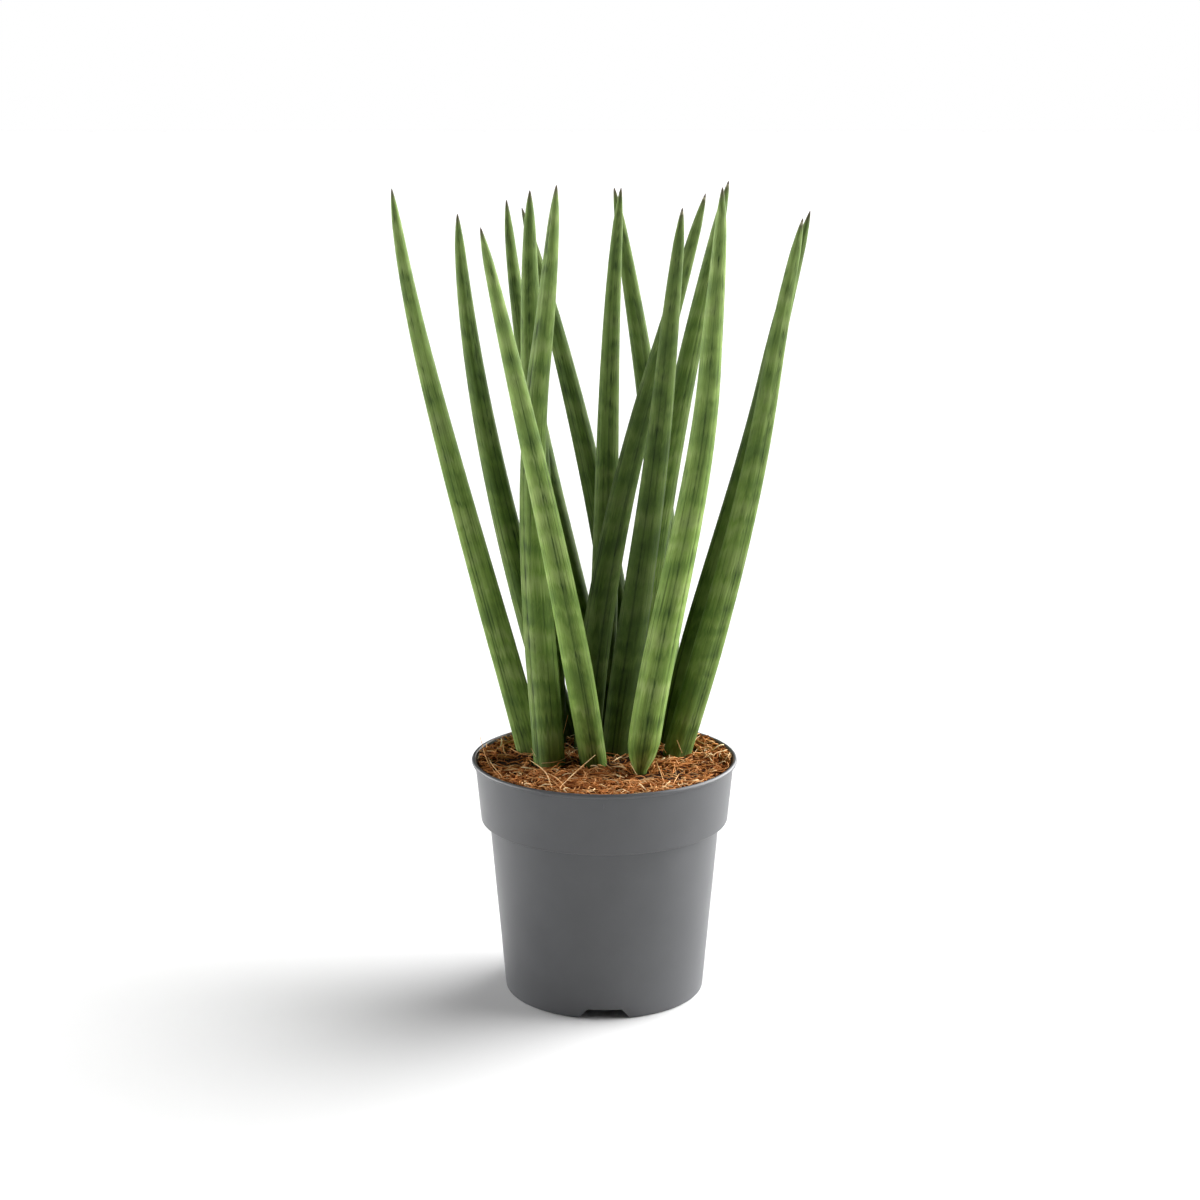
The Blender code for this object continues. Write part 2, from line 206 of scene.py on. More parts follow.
def body_radius(height):
    """The outer radius of the pot's tapered body at a height."""
    return BASE_RADIUS + (BODY_TOP_RADIUS - BASE_RADIUS) * height / LEDGE_HEIGHT


def collar_radius(height):
    """The outer radius of the pot's collar at a height."""
    share = (height - LEDGE_HEIGHT) / (POT_HEIGHT - LEDGE_HEIGHT)
    return COLLAR_FOOT_RADIUS + (COLLAR_TOP_RADIUS - COLLAR_FOOT_RADIUS) * share


def inner_wall(clearance, top):
    """The pot's inner face as (radius, height) points, drawn in from it by a clearance."""
    low = FLOOR_THICKNESS + clearance
    step = LEDGE_HEIGHT + WALL + clearance
    return [
        (body_radius(low) - WALL - clearance, low),
        (body_radius(step) - WALL - clearance, step),
        (collar_radius(step) - WALL - clearance, step),
        (collar_radius(top) - WALL - clearance, top),
    ]


def pick(*pieces):
    """Select these pieces and no others, and make the first one active."""
    bpy.ops.object.select_all(action="DESELECT")
    for piece in pieces:
        piece.select_set(True)
    if pieces:
        bpy.context.view_layer.objects.active = pieces[0]


def settle(piece, name):
    """Name a new piece and put its place, turn and size into its mesh."""
    piece.name = name
    piece.data.name = name
    bpy.ops.object.transform_apply(location=True, rotation=True, scale=True)
    return piece


def begin_pull():
    """Go into edit mode with the whole mesh selected."""
    bpy.ops.object.mode_set(mode="EDIT")
    bpy.ops.mesh.select_all(action="SELECT")


def next_ring(move, growth, centre):
    """Extrude the selected ring, and make the new one wider or narrower in x and y."""
    bpy.ops.mesh.extrude_region_move(TRANSFORM_OT_translate={"value": move})
    bpy.ops.transform.resize(value=(growth[0], growth[1], 1.0), center_override=centre)


def end_pull():
    """Turn every face outwards and leave edit mode."""
    bpy.ops.mesh.select_all(action="SELECT")
    bpy.ops.mesh.normals_make_consistent(inside=False)
    bpy.ops.object.mode_set(mode="OBJECT")


def pull_up(name, outline):
    """A closed round solid, drawn up ring by ring from a filled circle."""
    pick()
    radius, height = outline[0]
    bpy.ops.mesh.primitive_circle_add(
        vertices=POT_SIDES, radius=radius, fill_type="NGON", location=(0.0, 0.0, height)
    )
    piece = settle(bpy.context.object, name)
    begin_pull()
    for next_radius, next_height in outline[1:]:
        growth = next_radius / radius
        next_ring((0.0, 0.0, next_height - height), (growth, growth), (0.0, 0.0, next_height))
        radius, height = next_radius, next_height
    end_pull()
    return piece


def channel_bar(turn, growth):
    """A bar with sloping sides that fills one drainage channel, grown all round by a thickness."""
    splay = (CHANNEL_FOOT_WIDTH - CHANNEL_ROOF_WIDTH) / 2
    slope = math.hypot(CHANNEL_HEIGHT, splay) / CHANNEL_HEIGHT
    foot = CHANNEL_FOOT_WIDTH / 2 + splay + growth * slope
    roof = CHANNEL_ROOF_WIDTH / 2 + growth * slope * ROOF_GROWTH
    start = CHANNEL_INNER_END - growth
    pick()
    bpy.ops.mesh.primitive_cube_add(size=2.0)
    bar = bpy.context.object
    for vert in bar.data.vertices:
        upper = vert.co.z > 0
        vert.co.x *= roof if upper else foot
        vert.co.y = -start if vert.co.y > 0 else -start - LIP_RADIUS
        vert.co.z = CHANNEL_HEIGHT + growth if upper else -CHANNEL_HEIGHT
    bar.rotation_euler.z = turn
    return settle(bar, "channel_bar")


def carve(piece, tool):
    """Cut a tool out of a piece, for good, and throw the tool away."""
    step = piece.modifiers.new("carve", "BOOLEAN")
    step.operation = "DIFFERENCE"
    step.solver = "EXACT"
    step.object = tool
    bpy.context.view_layer.objects.active = piece
    bpy.ops.object.modifier_apply(modifier=step.name)
    bpy.data.objects.remove(tool, do_unlink=True)


def smooth(piece, angle):
    """Shade a piece smooth, apart from edges that are sharper than the angle."""
    pick(piece)
    bpy.ops.object.shade_smooth_by_angle(angle=angle)


base_corner = (body_radius(BASE_EDGE) - BASE_EDGE, BASE_EDGE)
collar_corner = (COLLAR_FOOT_RADIUS - COLLAR_EDGE, LEDGE_HEIGHT + COLLAR_EDGE)
bead_centre = (LIP_RADIUS - BEAD_RADIUS, POT_HEIGHT - BEAD_RADIUS)
outside = arc(base_corner, BASE_EDGE, -90, 0, EDGE_STEPS)
outside += [(body_radius(LEDGE_HEIGHT), LEDGE_HEIGHT)]
outside += arc(collar_corner, COLLAR_EDGE, -90, 0, EDGE_STEPS)
outside += arc(bead_centre, BEAD_RADIUS, BEAD_FOOT_ANGLE, 90, BEAD_STEPS)
pot = pull_up("grower_pot", outside)
hollow = inner_wall(0.0, POT_HEIGHT - LIP_FOOT_DROP)
hollow += arc(bead_centre, BEAD_RADIUS, 180, BEAD_END_ANGLE, INNER_BEAD_STEPS)
hollow += [(hollow[-1][0], POT_HEIGHT + WALL)]
cavity = pull_up("cavity", hollow)
channel_turns = [math.tau * number / CHANNELS for number in range(CHANNELS)]
for turn in channel_turns:
    carve(cavity, channel_bar(turn, WALL))
carve(pot, cavity)
for turn in channel_turns:
    carve(pot, channel_bar(turn, 0.0))
    pick()
    bpy.ops.mesh.primitive_cylinder_add(
        vertices=DRAIN_SIDES,
        radius=DRAIN_RADIUS,
        depth=DRAIN_LENGTH,
        location=(DRAIN_PLACE * math.sin(turn), -DRAIN_PLACE * math.cos(turn), CHANNEL_HEIGHT),
    )
    carve(pot, settle(bpy.context.object, "drain"))
smooth(pot, POT_SMOOTH)

# The injection gate left a low upright sliver under the lip, on the front of the collar.
GATE_SIZE = (0.00030, 0.00035, 0.0015)
GATE_PLACE = -0.0005
GATE_HEIGHT = 0.1035
GATE_SIDES = 16
GATE_RINGS = 12

pick()
bpy.ops.mesh.primitive_uv_sphere_add(
    segments=GATE_SIDES,
    ring_count=GATE_RINGS,
    scale=GATE_SIZE,
    location=(GATE_PLACE, -collar_radius(GATE_HEIGHT), GATE_HEIGHT),
)
gate = settle(bpy.context.object, "gate")
bpy.ops.object.shade_smooth()
pick(pot, gate)
bpy.ops.object.join()


def spread(tree, vector, scale, detail, low, high):
    """A noise pattern whose values between low and high are spread from 0 to 1."""
    pattern = put(tree, "TexNoise", {"Vector": vector, "Scale": scale, "Detail": detail})
    return put(tree, "MapRange", {
        "Value": pattern.outputs["Fac"], "From Min": low, "From Max": high,
    }).outputs["Result"]


def unevenness():
    """A node group for every surface here: a soft cloud and a fine grain, both 0 to 1."""
    group = bpy.data.node_groups.new("unevenness", "ShaderNodeTree")
    group.interface.new_socket(name="Place", in_out="INPUT", socket_type="NodeSocketVector")
    for name in ("Cloud", "Grain"):
        group.interface.new_socket(name=name + " Scale", in_out="INPUT", socket_type="NodeSocketFloat")
        group.interface.new_socket(name=name, in_out="OUTPUT", socket_type="NodeSocketFloat")
    given = group.nodes.new("NodeGroupInput").outputs
    result = group.nodes.new("NodeGroupOutput").inputs
    for name, detail in (("Cloud", CLOUD_DETAIL), ("Grain", GRAIN_DETAIL)):
        pattern = spread(group, given["Place"], given[name + " Scale"], detail, *NOISE_RANGE)
        group.links.new(pattern, result[name])
    return group


def roughen(tree, place, cloud_scale, grain_scale):
    """Put the unevenness into a material: its cloud and its grain."""
    inputs = {"Place": place, "Cloud Scale": cloud_scale, "Grain Scale": grain_scale}
    surface = put(tree, "Group", inputs, node_tree=uneven).outputs
    return surface["Cloud"], surface["Grain"]


def between(tree, value, low, high):
    """A value that runs from 0 to 1, spread between two others."""
    return put(tree, "MapRange", {"Value": value, "To Min": low, "To Max": high}).outputs["Result"]


def emboss(tree, shader, height, strength, distance):
    """Let a pattern's height disturb the light on a surface."""
    relief = put(tree, "Bump", {"Height": height, "Strength": strength, "Distance": distance})
    feed(tree, shader.inputs["Normal"], relief.outputs["Normal"])


# The plastic is a satin mid grey with a barely uneven skin. Here and below, scales are those of the
# cloud and of the grain, per metre, and relief is a bump's strength and its height in metres.
CLOUD_DETAIL = 5.0
GRAIN_DETAIL = 2.0
NOISE_RANGE = (0.25, 0.75)
PLASTIC_GREYS = ((0.0, (0.075, 0.077, 0.081)), (1.0, (0.088, 0.090, 0.095)))
PLASTIC_SCALES = (60.0, 2400.0)
PLASTIC_ROUGHNESS = (0.36, 0.46)
PLASTIC_RELIEF = (0.10, 0.0001)

uneven = unevenness()
plastic, tree, shader = new_material("grey_plastic")
place = put(tree, "TexCoord", {}).outputs["Object"]
cloud, grain = roughen(tree, place, *PLASTIC_SCALES)
feed(tree, shader.inputs["Base Color"], ramp(tree, cloud, PLASTIC_GREYS))
feed(tree, shader.inputs["Roughness"], between(tree, cloud, *PLASTIC_ROUGHNESS))
emboss(tree, shader, grain, *PLASTIC_RELIEF)
pot.data.materials.append(plastic)
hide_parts("pot")
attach(pot, "root")

# Leaves
# Fifteen single leaves, each a round, fleshy spike that tapers to a hard point. They were rooted one
# by one, so each stands by itself in the soil and leans its own way. The skin has fine furrows
# along it and one wider channel, both darkened with painted shade, and uneven darker bands across.
SOIL_LEVEL = 0.1074
LEAF_SIDES = 96
LEAF_RINGS = 60
RING_CROWDING = 1.5
FULL_WIDTH_AT = 0.8
TAPER_POWER = 0.42
POINT_START = 0.06
POINT_POWER = 0.22
HOOK_START = 0.7
CHANNEL_DEPTH = 0.10
CHANNEL_SPREAD = math.radians(24)
CHANNEL_LINE = math.radians(4)
CHANNEL_SHADE = 0.25
FURROW_DEPTH = 0.020
FURROW_SPREAD = math.radians(4)
FURROW_SPACING = (0.28, 0.55)
FURROW_STRENGTH = (0.2, 1.2)
FURROW_SHADE = 0.5
FOOT_DEPTH = 0.023
FOOT_NARROWING = 0.88
FOOT_START = 0.80
AXIS_STEP = 0.01
SWAY_SCALE = 6 * math.sqrt(3)
LEAF_SEED = 23

# place is where the leaf leaves the soil and tip its point, bow the bend at mid height, sway the
# S-bend's swing to each side and hook the turn of the last part. foot is the width at the soil as
# a share of the full width, and foot_start the share of the length below the tip where it begins.
# channel is the way that the wider channel faces, in degrees, deep how dark the green is, partly the
# leaf's own darker green and partly painted shade that the bunch throws on it, and dry
# is 1 where the tip has a dry notch. Sizes are in metres. SWAY_SCALE makes the S-bend's curve swing
# by one. Most of the tips, bows, sways, hooks and widths aren't chosen by hand: another script fitted
# them to the leaves' edges in the photograph, and they are rounded to half a millimetre.
LEAVES = (
    dict(place=(-0.0336, 0.0165), tip=(-0.0940, 0.024, 0.3625), bow=(-0.0030, 0.003), sway=-0.0005,
         hook=0.0025, width=0.0125, foot=1.10, channel=250, deep_and_shade=0.12),
    dict(place=(-0.0183, 0.0440), tip=(-0.0685, 0.080, 0.3485), bow=(-0.0078, 0.000), sway=-0.0005,
         hook=0.0000, width=0.0136, foot=0.90, channel=300, deep_and_shade=0.58),
    dict(place=(-0.0050, -0.005), tip=(-0.0525, -0.026, 0.3485), bow=(0.0025, -0.003), sway=-0.0005,
         hook=0.0000, width=0.0130, foot=0.94, channel=275, deep_and_shade=0.00),
    dict(place=(-0.0005, 0.0490), tip=(-0.0460, 0.090, 0.3545), bow=(-0.0065, -0.003), sway=-0.0025,
         hook=-0.0045, width=0.0125, foot=0.90, channel=60, deep_and_shade=0.70),
    dict(place=(0.0130, 0.0460), tip=(-0.0380, 0.066, 0.3520), bow=(0.0060, 0.004), sway=-0.0005,
         hook=0.0000, width=0.0130, foot=0.88, channel=235, deep_and_shade=0.85),
    dict(place=(-0.0245, 0.0295), tip=(-0.0335, 0.042, 0.3610), bow=(-0.0020, -0.002), sway=-0.0005,
         hook=0.0000, width=0.0155, foot=0.88, channel=262, deep_and_shade=0.46),
    dict(place=(-0.0249, -0.004), tip=(-0.0210, 0.014, 0.3645), bow=(-0.0150, 0.005), sway=-0.0025,
         hook=-0.0120, width=0.0145, foot=0.99, channel=222, deep_and_shade=0.28),
    dict(place=(0.0250, 0.0410), tip=(0.0045, 0.068, 0.3610), bow=(0.0095, 0.002), sway=-0.0015,
         hook=0.0000, width=0.0140, foot=0.80, channel=285, deep_and_shade=0.80),
    dict(place=(-0.0030, 0.0355), tip=(0.0075, 0.044, 0.3620), bow=(-0.0010, 0.002), sway=-0.0010,
         hook=0.0000, width=0.0130, foot=0.90, channel=280, deep_and_shade=0.62),
    dict(place=(0.0050, 0.0145), tip=(0.0335, -0.004, 0.3555), bow=(0.0040, -0.003), sway=0.0010,
         hook=0.0040, width=0.0140, foot=0.92, channel=255, deep_and_shade=0.86, dry=1.0),
    dict(place=(-0.0080, 0.0215), tip=(0.0445, 0.020, 0.3605), bow=(-0.0100, 0.000), sway=0.0005,
         hook=-0.0035, width=0.0135, foot=0.90, channel=290, deep_and_shade=0.84, dry=1.0),
    dict(place=(0.0145, 0.0280), tip=(0.0560, 0.046, 0.3650), bow=(-0.0065, 0.000), sway=0.0010,
         hook=0.0000, width=0.0145, foot=0.90, channel=120, deep_and_shade=0.45, dry=1.0),
    dict(place=(0.0161, -0.018), tip=(0.0491, -0.034, 0.3655), bow=(0.0110, -0.004), sway=0.0040,
         hook=0.0105, width=0.0145, foot=0.40, channel=268, foot_start=0.94, deep_and_shade=0.02),
    dict(place=(0.0320, 0.0295), tip=(0.0933, 0.050, 0.3514), bow=(0.0060, -0.003), sway=0.0030,
         hook=0.0106, width=0.0140, foot=0.88, channel=20, deep_and_shade=0.72),
    dict(place=(0.0335, 0.0115), tip=(0.0859, 0.002, 0.3507), bow=(0.0076, -0.004), sway=0.0010,
         hook=0.0070, width=0.0135, foot=0.95, channel=300, deep_and_shade=0.32, dry=1.0),
)


def leaf_centre(leaf, share):
    """The leaf's middle at a share of its height, 0 at the soil and 1 at the tip: x, y and z."""
    place, tip, bow, hook = leaf["place"], leaf["tip"], leaf["bow"], leaf["hook"]
    arch = 4 * share * (1 - share)
    late = np.maximum(0.0, (share - HOOK_START) / (1 - HOOK_START)) ** 2
    s_bend = SWAY_SCALE * share * (1 - share) * (2 * share - 1)
    x = place[0] + (tip[0] - hook - place[0]) * share + bow[0] * arch + leaf["sway"] * s_bend + hook * late
    y = place[1] + (tip[1] - place[1]) * share + bow[1] * arch
    return x, y, SOIL_LEVEL + (tip[2] - SOIL_LEVEL) * share


def leaf_radius(leaf, share):
    """The leaf's radius at a share of its height, square to its own line."""
    from_tip = 1 - share
    full = np.minimum(1.0, from_tip / FULL_WIDTH_AT) ** TAPER_POWER
    full = full * np.minimum(1.0, from_tip / POINT_START) ** POINT_POWER
    foot_start = leaf.get("foot_start", FOOT_START)
    into_foot = np.maximum(0.0, (from_tip - foot_start) / (1 - foot_start))
    return leaf["width"] / 2 * full * (1 - (1 - leaf["foot"]) * into_foot ** 2)


def lean_stretch(leaf, share):
    """How much wider, in x and in y, a level slice through the leaning leaf is than a square one."""
    ahead = Vector(leaf_centre(leaf, min(1.0, share + AXIS_STEP)))
    run = ahead - Vector(leaf_centre(leaf, max(0.0, share - AXIS_STEP)))
    return math.hypot(run.x, run.z) / run.z, math.hypot(run.y, run.z) / run.z


def furrowed_rim(rng, channel):
    """Round the leaf: its radius as a share of the full one, and the painted shade in its furrows and
    channel.
    """
    furrows = []
    angle = rng.uniform(*FURROW_SPACING)
    while angle < math.tau:
        furrows.append((angle, rng.uniform(*FURROW_STRENGTH)))
        angle += rng.uniform(*FURROW_SPACING)
    rim = []
    for number in range(LEAF_SIDES):
        here = math.tau * number / LEAF_SIDES
        off = math.remainder(here - channel, math.tau)
        channel_here = math.exp(-((off / CHANNEL_SPREAD) ** 2))
        # Painted shade in the grooves: a dark line down the middle of the channel, a lighter darkening over
        # all of it, and in each furrow below a darkening that grows with its depth.
        dark = max(math.exp(-((off / CHANNEL_LINE) ** 2)), CHANNEL_SHADE * channel_here)
        share = 1 - CHANNEL_DEPTH * channel_here
        for middle, strength in furrows:
            aside = math.remainder(here - middle, math.tau)
            furrow = strength * math.exp(-((aside / FURROW_SPREAD) ** 2))
            share -= FURROW_DEPTH * furrow
            dark = max(dark, FURROW_SHADE * furrow)
        rim.append((share, dark))
    return rim


def rim_at(rim, angle):
    """The furrowed rim's radius and painted groove shade at an angle round the leaf."""
    return rim[round(angle / math.tau * LEAF_SIDES) % LEAF_SIDES]


def grow_leaf(name, leaf, rim):
    """Draw a leaf up from a furrowed circle in the soil, ring by ring, and close its point."""
    centre = Vector(leaf_centre(leaf, 0.0)) - Vector((0.0, 0.0, FOOT_DEPTH))
    pick()
    bpy.ops.mesh.primitive_circle_add(vertices=LEAF_SIDES, radius=1.0, fill_type="NGON", location=centre)
    piece = bpy.context.object
    stretch = lean_stretch(leaf, 0.0)
    width = leaf_radius(leaf, 0.0) * FOOT_NARROWING
    for vert in piece.data.vertices:
        share = rim_at(rim, math.atan2(vert.co.y, vert.co.x))[0]
        vert.co.x *= width * share * stretch[0]
        vert.co.y *= width * share * stretch[1]
    settle(piece, name)
    begin_pull()
    for ring in range(LEAF_RINGS):
        share = 1 - (1 - ring / LEAF_RINGS) ** RING_CROWDING
        next_centre = Vector(leaf_centre(leaf, share))
        next_width = leaf_radius(leaf, share)
        next_stretch = lean_stretch(leaf, share)
        growth = [next_width * next_stretch[way] / (width * stretch[way]) for way in (0, 1)]
        next_ring(next_centre - centre, growth, next_centre)
        centre, width, stretch = next_centre, next_width, next_stretch
    bpy.ops.mesh.extrude_region_move(TRANSFORM_OT_translate={"value": Vector(leaf["tip"]) - centre})
    bpy.ops.mesh.merge(type="CENTER")
    end_pull()
    bpy.ops.object.shade_smooth()
    return piece


def mark_points(piece, name, values):
    """Give every point of a piece three numbers of its own, in one flat list."""
    piece.data.attributes.new(name, "FLOAT_VECTOR", "POINT").data.foreach_set("vector", values)


def mark_number(piece, name, values):
    """Give every point of a piece a number of its own."""
    piece.data.attributes.new(name, "FLOAT", "POINT").data.foreach_set("value", values)


def mark_skin(piece, leaf, rim, tint):
    """Lay coordinates round and along the leaf, and mark the painted shade in its furrows and channel, how
    far each point is from the tip, the leaf's own tint, its darker green with painted shade of the bunch,
    and its dry notch."""
    along = []
    marks = []
    top = leaf["tip"][2]
    thick = leaf["width"] / 2
    for vert in piece.data.vertices:
        share = min(1.0, max(0.0, (vert.co.z - SOIL_LEVEL) / (top - SOIL_LEVEL)))
        off = vert.co - Vector(leaf_centre(leaf, share))
        around = math.atan2(off.y, off.x)
        along += [thick * math.cos(around), thick * math.sin(around), vert.co.z]
        marks += [rim_at(rim, around)[1], top - vert.co.z, tint]
    mark_points(piece, "along", along)
    mark_points(piece, "marks", marks)
    mark_number(piece, "deep_and_shade", [leaf["deep_and_shade"]] * len(piece.data.vertices))
    mark_number(piece, "dry", [leaf.get("dry", 0.0)] * len(piece.data.vertices))


def blend(tree, share, first, second, how="MIX"):
    """One colour turned into another, or darkened by it, by a share that varies over the surface."""
    new = tree.nodes.new("ShaderNodeMix")
    new.data_type = "RGBA"
    new.blend_type = how
    sockets = {socket.identifier: socket for socket in new.inputs}
    feed(tree, sockets["Factor_Float"], share)
    feed(tree, sockets["A_Color"], first)
    feed(tree, sockets["B_Color"], second)
    return [socket for socket in new.outputs if socket.identifier == "Result_Color"][0]


def scaled(tree, vector, scale):
    """Coordinates multiplied by a scale of their own in x, y and z."""
    return put(tree, "Mapping", {"Vector": vector, "Scale": scale}).outputs["Vector"]


def within(tree, value, start, end):
    """How far a value has come from start to end, from 0 to 1."""
    return put(tree, "MapRange", {"Value": value, "From Min": start, "From Max": end}).outputs["Result"]


# The skin: soft ragged bands and small dark blotches, which crowd into the channel and the furrows, fine
# dark lines along, painted shade in the furrows and the channel, each leaf's own darker green with painted
# shade of the bunch, and a grey-brown hard tip, on some leaves with a dry straw-coloured notch just under
# it.
# PALE, TIP and DRY distances are in metres below the tip.
DARK_GREEN = (0.142, 0.244, 0.040)
MID_GREEN = (0.238, 0.369, 0.071)
LIGHT_GREEN = (0.338, 0.456, 0.130)
DEEP_GREEN = (0.030, 0.060, 0.008, 1.0)
DEEP_SHADE = (0.22, 0.25, 0.18, 1.0)
PALE_GREEN = (0.250, 0.330, 0.140, 1.0)
LINE_AND_GROOVE_SHADE_GREEN = (0.014, 0.034, 0.002, 1.0)
TIP_BROWN = (0.110, 0.085, 0.065, 1.0)
TIP_HARD = 0.0010
TIP_SOFT = 0.0065
DRY_STRAW = (0.500, 0.470, 0.340, 1.0)
DRY_FROM = 0.0014
DRY_FULL = 0.0020
DRY_TO = 0.0034
PALE_FROM = 0.150
PALE_TO = 0.020
SKIN_GLOSS = 0.20

# Patterns are stretched noise, spread from low to high. The leaf's tint moves them on from leaf to
# leaf, and raggedness shakes the bands and blotches up and down, in metres.
BANDS = dict(scale=125.0, detail=7.0, low=0.30, high=0.70)
BLOTCHES = dict(scale=210.0, detail=6.0, low=0.48, high=0.68)
STREAKS = dict(scale=1300.0, detail=4.0, low=0.30, high=0.70)
LINES = dict(scale=900.0, detail=2.0, low=0.60, high=0.70)
FLAKES = dict(scale=1400.0, detail=2.0, low=0.42, high=0.52)
BAND_STRETCH = (0.30, 0.30, 1.0)
BLOTCH_STRETCH = (0.6, 0.6, 0.9)
STREAK_STRETCH = (1.0, 1.0, 0.03)
LINE_STRETCH = (1.0, 1.0, 0.02)
BAND_GREENS = ((0.20, DARK_GREEN), (0.50, MID_GREEN), (0.85, LIGHT_GREEN))
TINT_SHIFT = 3.0
RAGGEDNESS = (-0.0028, 0.0028)

# How strongly each pattern shows: streaks and patches from their lowest noise to their highest, the
# others from low on the leaf to near its tip. BLOTCH_CROWDING is what the painted shade of the channel
# and the furrows adds to the blotches, and DEEP_ROUGHNESS what the darkest green and painted shade add
# to the roughness.
PALE_SHARE = (0.0, 0.30)
BLOTCH_SHARE = (0.12, 0.44)
BLOTCH_CROWDING = 1.2
LINE_SHARE = (0.60, 0.15)
GROOVE_SHADE_SHARE = (0.70, 0.25)
DEEP_AND_SHADE_SHARE = (1.0, 0.50)
STREAK_SHARE = (0.26, 0.0)
PATCH_SHARE = (0.22, 0.0)
SKIN_SCALES = (14.0, 1900.0)
SKIN_ROUGHNESS = (0.56, 0.70)
DEEP_ROUGHNESS = 0.15
STREAK_RELIEF = 0.8
SKIN_RELIEF = (0.25, 0.0002)

leaf_skin, tree, shader = new_material("leaf_skin")
along = put(tree, "Attribute", {}, attribute_name="along").outputs["Vector"]
marks = put(tree, "Attribute", {}, attribute_name="marks").outputs["Vector"]
deep_and_shade = put(tree, "Attribute", {}, attribute_name="deep_and_shade").outputs["Fac"]
dry = put(tree, "Attribute", {}, attribute_name="dry").outputs["Fac"]
mark = put(tree, "SeparateXYZ", {"Vector": marks}).outputs
apart = put(tree, "CombineXYZ", {"X": mark["Z"], "Z": maths(tree, "MULTIPLY", mark["Z"], TINT_SHIFT)})
own = put(tree, "VectorMath", {0: along, 1: apart.outputs["Vector"]}, operation="ADD").outputs["Vector"]
cloud, grain = roughen(tree, own, *SKIN_SCALES)
aloft = within(tree, mark["Y"], PALE_FROM, PALE_TO)
streaks = spread(tree, scaled(tree, own, STREAK_STRETCH), **STREAKS)
ragged = put(tree, "CombineXYZ", {"Z": between(tree, streaks, *RAGGEDNESS)}).outputs["Vector"]
shaken = put(tree, "VectorMath", {0: own, 1: ragged}, operation="ADD").outputs["Vector"]
bands = spread(tree, scaled(tree, shaken, BAND_STRETCH), **BANDS)
banded = ramp(tree, bands, BAND_GREENS)
paled = blend(tree, between(tree, aloft, *PALE_SHARE), banded, PALE_GREEN)
blotches = spread(tree, scaled(tree, shaken, BLOTCH_STRETCH), **BLOTCHES)
# The blotches crowd into the channel and the furrows, where they add to the painted shade in the grooves.
crowding = maths(tree, "MULTIPLY_ADD", mark["X"], BLOTCH_CROWDING, between(tree, aloft, *BLOTCH_SHARE))
blotched = blend(tree, maths(tree, "MULTIPLY", blotches, crowding), paled, DEEP_GREEN)
streaked = blend(tree, between(tree, streaks, *STREAK_SHARE), blotched, DEEP_GREEN)
lines = spread(tree, scaled(tree, own, LINE_STRETCH), **LINES)
lined = blend(tree, maths(tree, "MULTIPLY", lines, between(tree, aloft, *LINE_SHARE)), streaked, LINE_AND_GROOVE_SHADE_GREEN)
# Painted shade: the furrows and the channel darken towards the line colour, more low on the leaf than near
# its tip.
furrows = maths(tree, "MULTIPLY", mark["X"], between(tree, aloft, *GROOVE_SHADE_SHARE))
furrowed = blend(tree, furrows, lined, LINE_AND_GROOVE_SHADE_GREEN)
patchy = blend(tree, between(tree, cloud, *PATCH_SHARE), furrowed, DEEP_GREEN)
# Painted shade: each leaf's own darkening stands partly for a darker green and partly for the shade that
# the bunch throws on it. It is full low on the leaf and half as strong near the tip.
depth = maths(tree, "MULTIPLY", deep_and_shade, between(tree, aloft, *DEEP_AND_SHADE_SHARE))
deepened_and_shaded = blend(tree, depth, patchy, DEEP_SHADE, how="MULTIPLY")
tipped = blend(tree, within(tree, mark["Y"], TIP_SOFT, TIP_HARD), deepened_and_shaded, TIP_BROWN)
begun = within(tree, mark["Y"], DRY_FROM, DRY_FULL)
over = within(tree, mark["Y"], DRY_TO, DRY_FULL)
notch = maths(tree, "MULTIPLY", begun, over)
flaky = maths(tree, "MULTIPLY", notch, spread(tree, own, **FLAKES))
dried = blend(tree, maths(tree, "MULTIPLY", flaky, dry), tipped, DRY_STRAW)
dull = between(tree, grain, *SKIN_ROUGHNESS)
feed(tree, shader.inputs["Base Color"], dried)
feed(tree, shader.inputs["Roughness"], maths(tree, "MULTIPLY_ADD", deep_and_shade, DEEP_ROUGHNESS, dull))
feed(tree, shader.inputs["Specular IOR Level"], SKIN_GLOSS)
emboss(tree, shader, maths(tree, "MULTIPLY_ADD", streaks, STREAK_RELIEF, grain), *SKIN_RELIEF)

leaf_rng = random.Random(LEAF_SEED)
for number, leaf in enumerate(LEAVES, start=1):
    rim = furrowed_rim(leaf_rng, math.radians(leaf["channel"]))
    spike = grow_leaf("leaf_spike_%02d" % number, leaf, rim)
    mark_skin(spike, leaf, rim, leaf_rng.random())
    spike.data.materials.append(leaf_skin)
    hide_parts("leaf_%02d" % number)
    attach(spike, "root")

# Soil
# Potting soil fills the pot to just under the lip. It is one body, pressed against the wall, with
# a groove under it over each drainage channel. Its uneven top rises a little against the wall and
# has a few hollows.
GAP = 0.0003
SOIL_EDGE_DROP = 0.0006
MAT_DEPTH = 0.0014
SOIL_RINGS = 60
SOIL_SMOOTH = math.radians(60)
LEVEL_FACE = 0.99
RELIEF_HEIGHT = 0.0011
RELIEF_SIZE = 0.0085
RELIEF_ROUGHNESS = 0.8
RELIEF_LACUNARITY = 2.0
RELIEF_OCTAVES = 2
HOLLOWS = (
    dict(middle=(-0.0430, -0.0030), reach=0.0085, drop=0.0026),
    dict(middle=(0.0340, -0.0220), reach=0.0100, drop=0.0016),
    dict(middle=(0.0070, -0.0020), reach=0.0075, drop=0.0022),
    dict(middle=(0.0170, -0.0250), reach=0.0080, drop=0.0018),
    dict(middle=(-0.0260, -0.0130), reach=0.0070, drop=0.0007),
)
EDGE_START = 0.053
EDGE_RISE = 0.0011
